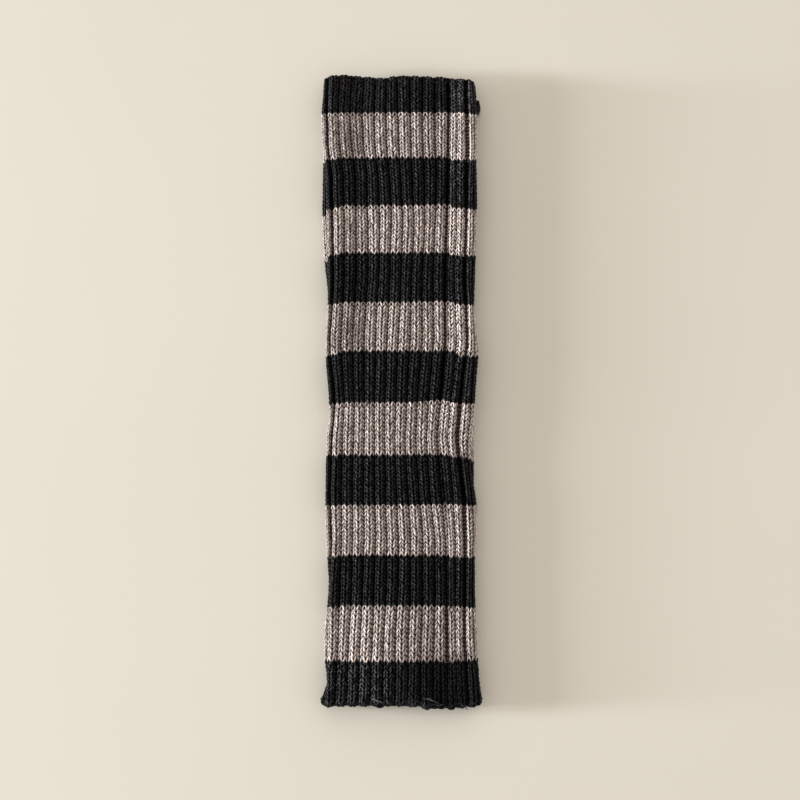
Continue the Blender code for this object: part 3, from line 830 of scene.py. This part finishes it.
def chain_paths(tube, end, outset, depth, length, width, radius, rng):
    """A chain of thick stitches along one open end of a leg warmer, as a group for strand_piece."""
    rim, outward_sign = (0.0, 1.0) if end == "knee" else (len(COURSES), -1.0)
    count = round(2 * (USUAL_WIDTH + QUARTER_FOLD) / length)
    centre = ((np.arange(count) + 0.5) / count * RIBS_ROUND)[:, None]
    toward_knee, leaned, sunk_path = np.array(STITCH_PATHS["plain"]).T
    sides = []
    for side in (-1.0, 1.0):
        along = toward_knee + CHAIN_UNEVEN["along"] * rng.normal(size=(count, 1))
        rib_at = centre + along * RIBS_ROUND / count
        lift = depth + sunk_path * CHAIN_RELIEF - radius
        lift = lift + CHAIN_UNEVEN["height"] * rng.normal(size=(count, 1))
        place = np.broadcast_to(abs(rim - CHAIN_PLACE), rib_at.shape)
        outward = tube.cloth_directions(rib_at, place)
        surface, _, _, sunk = tube.at(rib_at, place)
        path = surface + outward * lift[..., None]
        scallop = SCALLOP[end] * np.cos((rib_at - 0.5) * 2 * math.pi)
        across = side * (CHAIN_SPREAD[0] + leaned * CHAIN_SPREAD[1]) * width + scallop + outset
        path[..., 1] += outward_sign * across
        sides.append((path, outward, yarn_depth("black", sunk, lift), np.full(count, radius)))
    return *joined(sides), STITCH_TUBE_SIDES


def loose_strands():
    """The strands that have come out of the upper one's foot end, as a group for strand_piece."""
    paths, radii, depths = (np.array(each, float) for each in zip(*LOOSE_STRANDS))
    outward = np.broadcast_to((0.0, 0.0, 1.0), paths.shape)
    return paths, outward, np.broadcast_to(-depths[:, None], paths.shape[:2]), radii, LOOSE_TUBE_SIDES


def srgb(text):
    """A hex colour as linear light."""
    values = [int(text[i : i + 2], 16) / 255 for i in (0, 2, 4)]
    return [v / 12.92 if v <= 0.04045 else ((v + 0.055) / 1.055) ** 2.4 for v in values] + [1.0]


def add_node(tree, kind, settings=(), **inputs):
    """One node of a material, with its settings and its inputs.

    An input is named, or numbered as i0, i1 and so on, and is a value or another node's output.
    """
    node = tree.nodes.new(kind)
    for name, value in dict(settings).items():
        setattr(node, name, value)
    for name, value in inputs.items():
        socket = node.inputs[int(name[1:])] if name[1:].isdigit() else node.inputs[name.replace("_", " ")]
        if isinstance(value, bpy.types.NodeSocket):
            tree.links.new(value, socket)
        else:
            socket.default_value = value
    return node


def calculate(tree, operation, *values):
    """The result of one sum on numbers or sockets."""
    inputs = {f"i{place}": value for place, value in enumerate(values)}
    return add_node(tree, "ShaderNodeMath", {"operation": operation}, **inputs).outputs[0]


def noise(tree, place, scale, detail, roughness=0.5):
    """Noise from 0 to 1 at a place."""
    inputs = {"Vector": place, "Scale": scale, "Detail": detail, "Roughness": roughness}
    return add_node(tree, "ShaderNodeTexNoise", **inputs).outputs["Fac"]


def on_object(tree):
    """Places in the object's own coordinates."""
    return add_node(tree, "ShaderNodeTexCoord").outputs["Object"]


def on_map(tree, name):
    """The two coordinates of a UV map."""
    uv = add_node(tree, "ShaderNodeUVMap", {"uv_map": name}).outputs[0]
    split = add_node(tree, "ShaderNodeSeparateXYZ", Vector=uv)
    return split.outputs["X"], split.outputs["Y"]


def on_points(tree, name):
    """A value that the mesh carries for each point."""
    return add_node(tree, "ShaderNodeAttribute", {"attribute_name": name}).outputs["Fac"]


def shaded_colour(tree, colour, share, low, high):
    """A colour made darker and lighter between two factors as share goes from 0 to 1."""
    scaled = calculate(tree, "MULTIPLY_ADD", share, high - low, low)
    return add_node(tree, "ShaderNodeVectorMath", {"operation": "SCALE"}, i0=colour, Scale=scaled).outputs[0]


def new_material(name):
    """A material with only a Principled shader and its output."""
    material = bpy.data.materials.new(name)
    material.use_nodes = True
    tree = material.node_tree
    tree.nodes.clear()
    shader = add_node(tree, "ShaderNodeBsdfPrincipled")
    add_node(tree, "ShaderNodeOutputMaterial", Surface=shader.outputs[0])
    return material, tree, shader


def yarn_colour(tree, crest, yarn, share, low, high):
    """The yarn's colour, lighter or darker by share: its own on the crests, with painted shade in the folds.
    """
    # Painted shade: the deeper a point lies, the more its colour goes towards the fold colour.
    depth = calculate(tree, "MAXIMUM", calculate(tree, "MULTIPLY", on_points(tree, "depth"), -1.0), 0.0)
    crest_share = calculate(tree, "POWER", YARNS[yarn]["left"], depth)
    colours = {"i0": crest_share, "i6": srgb(YARNS[yarn]["fold"]), "i7": crest}
    mixed = add_node(tree, "ShaderNodeMix", {"data_type": "RGBA"}, **colours)
    return shaded_colour(tree, mixed.outputs[2], share, low, high)


def finish_yarn(tree, shader, colour, bump, roughness, gloss, sheen, sheen_tint):
    """The soft, hairy surface of the yarn, with its colour and its bump."""
    tree.links.new(colour, shader.inputs["Base Color"])
    tree.links.new(add_node(tree, "ShaderNodeBump", **bump).outputs[0], shader.inputs["Normal"])
    shader.inputs["Roughness"].default_value = roughness
    shader.inputs["Specular IOR Level"].default_value = gloss
    shader.inputs["Sheen Weight"].default_value = sheen
    shader.inputs["Sheen Roughness"].default_value = 0.45
    shader.inputs["Sheen Tint"].default_value = sheen_tint


def spun_yarn(name, crest, yarn):
    """Brushed two-ply yarn: the plies show as slanting grooves with painted shade, and loose fibres catch the
    light.
    """
    look = YARNS[yarn]
    material, tree, shader = new_material(name)
    length, turn = on_map(tree, "Strand")
    tone = on_points(tree, "tone")
    place = on_object(tree)
    plies, twisted_in = 2, 2.6  # millimetres for one full twist
    twist = calculate(tree, "MULTIPLY_ADD", length, 2 * math.pi * plies / twisted_in, 0.0)
    around = calculate(tree, "MULTIPLY", turn, 2 * math.pi * plies)
    ply = calculate(tree, "SINE", calculate(tree, "ADD", twist, around))
    ply = calculate(tree, "MULTIPLY_ADD", ply, 0.5, 0.5)
    # Fibres of 0.03 mm are too fine to see, so they are drawn as strands of about 0.25 mm.
    fibres = noise(tree, place, *FIBRES)
    # Tufts of brushed fibre of about 1 mm, paler or darker than the rest at random; the paler ones are also a
    # painted glint of fibres catching the light.
    tufts_and_glints = noise(tree, place, 900.0, 1.0)
    tufts_and_glints = calculate(tree, "MULTIPLY", calculate(tree, "SUBTRACT", tufts_and_glints, 0.5), look["speckle"])
    share = calculate(tree, "MULTIPLY_ADD", tone, 0.55, calculate(tree, "ADD", tufts_and_glints, 0.12))
    # Painted shade: the colour is darker in the plies' grooves and lighter on their ridges.
    share = calculate(tree, "MAXIMUM", calculate(tree, "MULTIPLY_ADD", ply, 0.2, share), 0.0)
    colour = yarn_colour(tree, crest, yarn, share, look["darkest"], look["lightest"])
    height = calculate(tree, "MULTIPLY_ADD", fibres, 0.45, ply)
    bump = {"Height": height, "Strength": 0.55, "Distance": 0.25 * MM}
    surface = (look[name] for name in ("roughness", "gloss", "sheen", "sheen_tint"))
    finish_yarn(tree, shader, colour, bump, *surface)
    return material


def rib_knit_cloth(name, crest, yarn):
    """The same yarn as knitted cloth: four leaning columns of stitches to a rib, drawn as bump and painted
    shade.
    """
    look = YARNS[yarn]
    material, tree, shader = new_material(name)
    ribs, courses = on_map(tree, "Knit")
    place = on_object(tree)
    columns = calculate(tree, "MULTIPLY", ribs, 4.0)
    odd = calculate(tree, "MODULO", calculate(tree, "FLOOR", columns), 2.0)
    sign = calculate(tree, "MULTIPLY_ADD", odd, -2.0, 1.0)
    in_course = calculate(tree, "FRACT", courses)
    slant = calculate(tree, "MULTIPLY", calculate(tree, "SUBTRACT", 0.5, in_course), 0.5)
    across = calculate(tree, "FRACT", columns)
    leaned = calculate(tree, "MULTIPLY_ADD", sign, slant, across)
    off_middle = calculate(tree, "ABSOLUTE", calculate(tree, "SUBTRACT", leaned, 0.5))
    rounded = calculate(tree, "POWER", calculate(tree, "MULTIPLY", off_middle, 2.0), 2.0)
    leg = calculate(tree, "SUBTRACT", 1.0, rounded)
    off_course = calculate(tree, "ABSOLUTE", calculate(tree, "SUBTRACT", in_course, 0.5))
    dip = calculate(tree, "POWER", off_course, 2.0)
    height = calculate(tree, "MULTIPLY_ADD", dip, -2.0, leg)
    heather = calculate(tree, "SUBTRACT", noise(tree, place, 500.0, 2.0), 0.6)
    # Painted shade: darker between the stitches' legs and where the courses dip; the heather varies at
    # random.
    share = calculate(tree, "MAXIMUM", calculate(tree, "MULTIPLY_ADD", height, 0.9, heather), 0.0)
    rough_height = calculate(tree, "MULTIPLY_ADD", noise(tree, place, *FIBRES), 0.2, height)
    bump = {"Height": rough_height, "Strength": 0.8, "Distance": 0.8 * MM}
    # The cloth between and behind the stitches is rougher, and shines 0.3 times as much.
    gloss, sheen = look["gloss"] * 0.3, look["sheen"] * 0.3
    colour = yarn_colour(tree, crest, yarn, share, 0.2, 1.5)
    finish_yarn(tree, shader, colour, bump, 0.92, gloss, sheen, look["sheen_tint"])
    return material


def yarn_materials(colours):
    """The two finishes of each yarn, made once."""
    made = bpy.data.materials
    for yarn, text in (("black", colours.black_yarn), ("taupe", colours.taupe_yarn)):
        if f"{yarn}_spun_yarn" not in made:
            spun_yarn(f"{yarn}_spun_yarn", srgb(text), yarn)
            rib_knit_cloth(f"{yarn}_rib_knit_cloth", srgb(text), yarn)
    return made


def tubes(knit):
    """The forms of the two leg warmers."""
    return [PressedTube(warmer, base, knit.rib_depth / MM) for warmer, base in LEG_WARMERS]


def fit_to_frame(piece):
    """Puts a piece on the one body."""
    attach(piece, "root")


class LEGWARMERS_OT_knit_stripes(bpy.types.Operator):
    """Knits every stripe of both leg warmers: the cloth wall and the stitches on it"""

    bl_idname = "leg_warmers.knit_stripes"
    bl_label = "Knit the stripes"

    def execute(self, context):
        knit = context.scene.leg_warmer_knit
        materials = yarn_materials(context.scene.leg_warmer_colours)
        for tube in tubes(knit):
            for stripe in range(len(COURSES)):
                yarn, node = tube.yarn(stripe), tube.node(stripe)
                # Each stripe of each leg warmer has stitches of its own.
                rng = np.random.default_rng(100 * len(tube.warmer) + stripe + (tube.base > 0) * 50)
                shell = cloth_shell(tube, stripe, materials[f"{yarn}_rib_knit_cloth"])
                groups = [stitch_paths(tube, stripe, knit, rng), *purl_paths(tube, stripe, rng)]
                stitches = strand_piece(node + "_stitches", groups, yarn, materials[f"{yarn}_spun_yarn"])
                fit_to_frame(shell)
                fit_to_frame(stitches)
                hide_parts(node)
        return {"FINISHED"}


class LEGWARMERS_OT_finish_edges(bpy.types.Operator):
    """Binds the open ends of both leg warmers with chains of thicker stitches"""

    bl_idname = "leg_warmers.finish_edges"
    bl_label = "Finish the open ends"

    def execute(self, context):
        knit = context.scene.leg_warmer_knit
        materials = yarn_materials(context.scene.leg_warmer_colours)
        for tube in tubes(knit):
            for end in ("knee", "foot"):
                rng = np.random.default_rng(len(end) + int(tube.base))
                chains = [chain_paths(tube, *row, rng) for row in EDGE_CHAINS if row[0] == end]
                if tube.warmer == "upper" and end == "foot":
                    chains.append(loose_strands())
                name = f"{tube.warmer}_{end}_end_chain"
                fit_to_frame(strand_piece(name, chains, "black", materials["black_spun_yarn"]))
        return {"FINISHED"}


class LEGWARMERS_OT_declare_cloth(bpy.types.Operator):
    """Works out each stripe's node, its ends along the tube and its side folds, and does nothing more with
    them
    """

    bl_idname = "leg_warmers.declare_cloth"
    bl_label = "State the cloth's flat sizes"

    def execute(self, context):
        for tube in tubes(context.scene.leg_warmer_knit):
            for stripe in range(len(COURSES)):
                name = tube.node(stripe)
                top, bottom = tube.line_y[stripe : stripe + 2]
                left, right = tube.folds((top + bottom) / 2)
        return {"FINISHED"}


class LEGWARMERS_OT_stage(bpy.types.Operator):
    """Lays the floor and sets the lights and the camera"""

    bl_idname = "leg_warmers.stage"
    bl_label = "Set the stage"

    def execute(self, context):
        bpy.ops.object.select_all(action="DESELECT")
        bpy.ops.mesh.primitive_plane_add(size=6.0, location=(0.0, 0.0, -0.0002))
        floor = context.object
        floor.name = "floor"
        bpy.ops.object.transform_apply(location=True, rotation=True, scale=True)
        material, tree, shader = new_material("matt_cream_card")
        mottle = noise(tree, on_object(tree), 6.0, 2.0)
        colour = srgb(context.scene.leg_warmer_colours.floor)[:3]
        tree.links.new(shaded_colour(tree, colour, mottle, 0.98, 1.02), shader.inputs["Base Color"])
        shader.inputs["Roughness"].default_value = 0.9
        shader.inputs["Specular IOR Level"].default_value = 0.2
        floor.data.materials.append(material)

        world = bpy.data.worlds.new("studio")
        context.scene.world = world
        world.use_nodes = True
        tree = world.node_tree
        background = tree.nodes["Background"]
        background.inputs["Color"].default_value = ROOM_COLOUR
        # The room is bright beyond the knee ends and dim beyond the foot ends.
        toward_knee = add_node(tree, "ShaderNodeSeparateXYZ", Vector=on_object(tree)).outputs["Y"]
        strength = calculate(tree, "MULTIPLY_ADD", toward_knee, ROOM_RISE_TO_KNEE, ROOM_LIGHT)
        tree.links.new(strength, background.inputs["Strength"])
        # A window to the left, low over the floor, and the light that skims in under it.
        for name, kind, place, rise, energy, size_name, size in LAMPS:
            bpy.ops.object.light_add(type=kind, location=place)
            lamp = context.object
            lamp.name = name
            lamp.rotation_euler = (0.0, rise - math.pi / 2, 0.0)
            lamp.data.color = LAMP_COLOUR
            lamp.data.energy = energy
            setattr(lamp.data, size_name, size)
        bpy.ops.object.camera_add(location=CAMERA_PLACE, rotation=(0.0, 0.0, 0.0))
        camera = context.object
        camera.name = "camera_above"
        camera.data.lens = CAMERA_LENS
        context.scene.camera = camera
        context.scene.view_settings.view_transform = "Standard"
        return {"FINISHED"}


class LEGWARMERS_PT_panel(bpy.types.Panel):
    """Lists the yarns, the sizes and the steps that make the pair."""

    bl_idname = "LEGWARMERS_PT_panel"
    bl_label = "Leg warmers"
    bl_space_type = "VIEW_3D"
    bl_region_type = "UI"
    bl_category = "Leg warmers"

    def draw(self, context):
        for group in (context.scene.leg_warmer_colours, context.scene.leg_warmer_knit):
            for name in group.__annotations__:
                self.layout.prop(group, name)
        for operator in OPERATORS:
            self.layout.operator(operator.bl_idname)


OPERATORS = (
    LEGWARMERS_OT_knit_stripes,
    LEGWARMERS_OT_finish_edges,
    LEGWARMERS_OT_declare_cloth,
    LEGWARMERS_OT_stage,
)
CLASSES = (Colours, Knit, *OPERATORS, LEGWARMERS_PT_panel)


def register():
    for each in CLASSES:
        bpy.utils.register_class(each)
    bpy.types.Scene.leg_warmer_colours = bpy.props.PointerProperty(type=Colours)
    bpy.types.Scene.leg_warmer_knit = bpy.props.PointerProperty(type=Knit)


def unregister():
    del bpy.types.Scene.leg_warmer_knit
    del bpy.types.Scene.leg_warmer_colours
    for each in reversed(CLASSES):
        bpy.utils.unregister_class(each)


def main():
    register()
    bpy.ops.leg_warmers.knit_stripes()
    bpy.ops.leg_warmers.finish_edges()
    bpy.ops.leg_warmers.stage()
    bpy.ops.leg_warmers.declare_cloth()


if __name__ == "__main__":
    main()
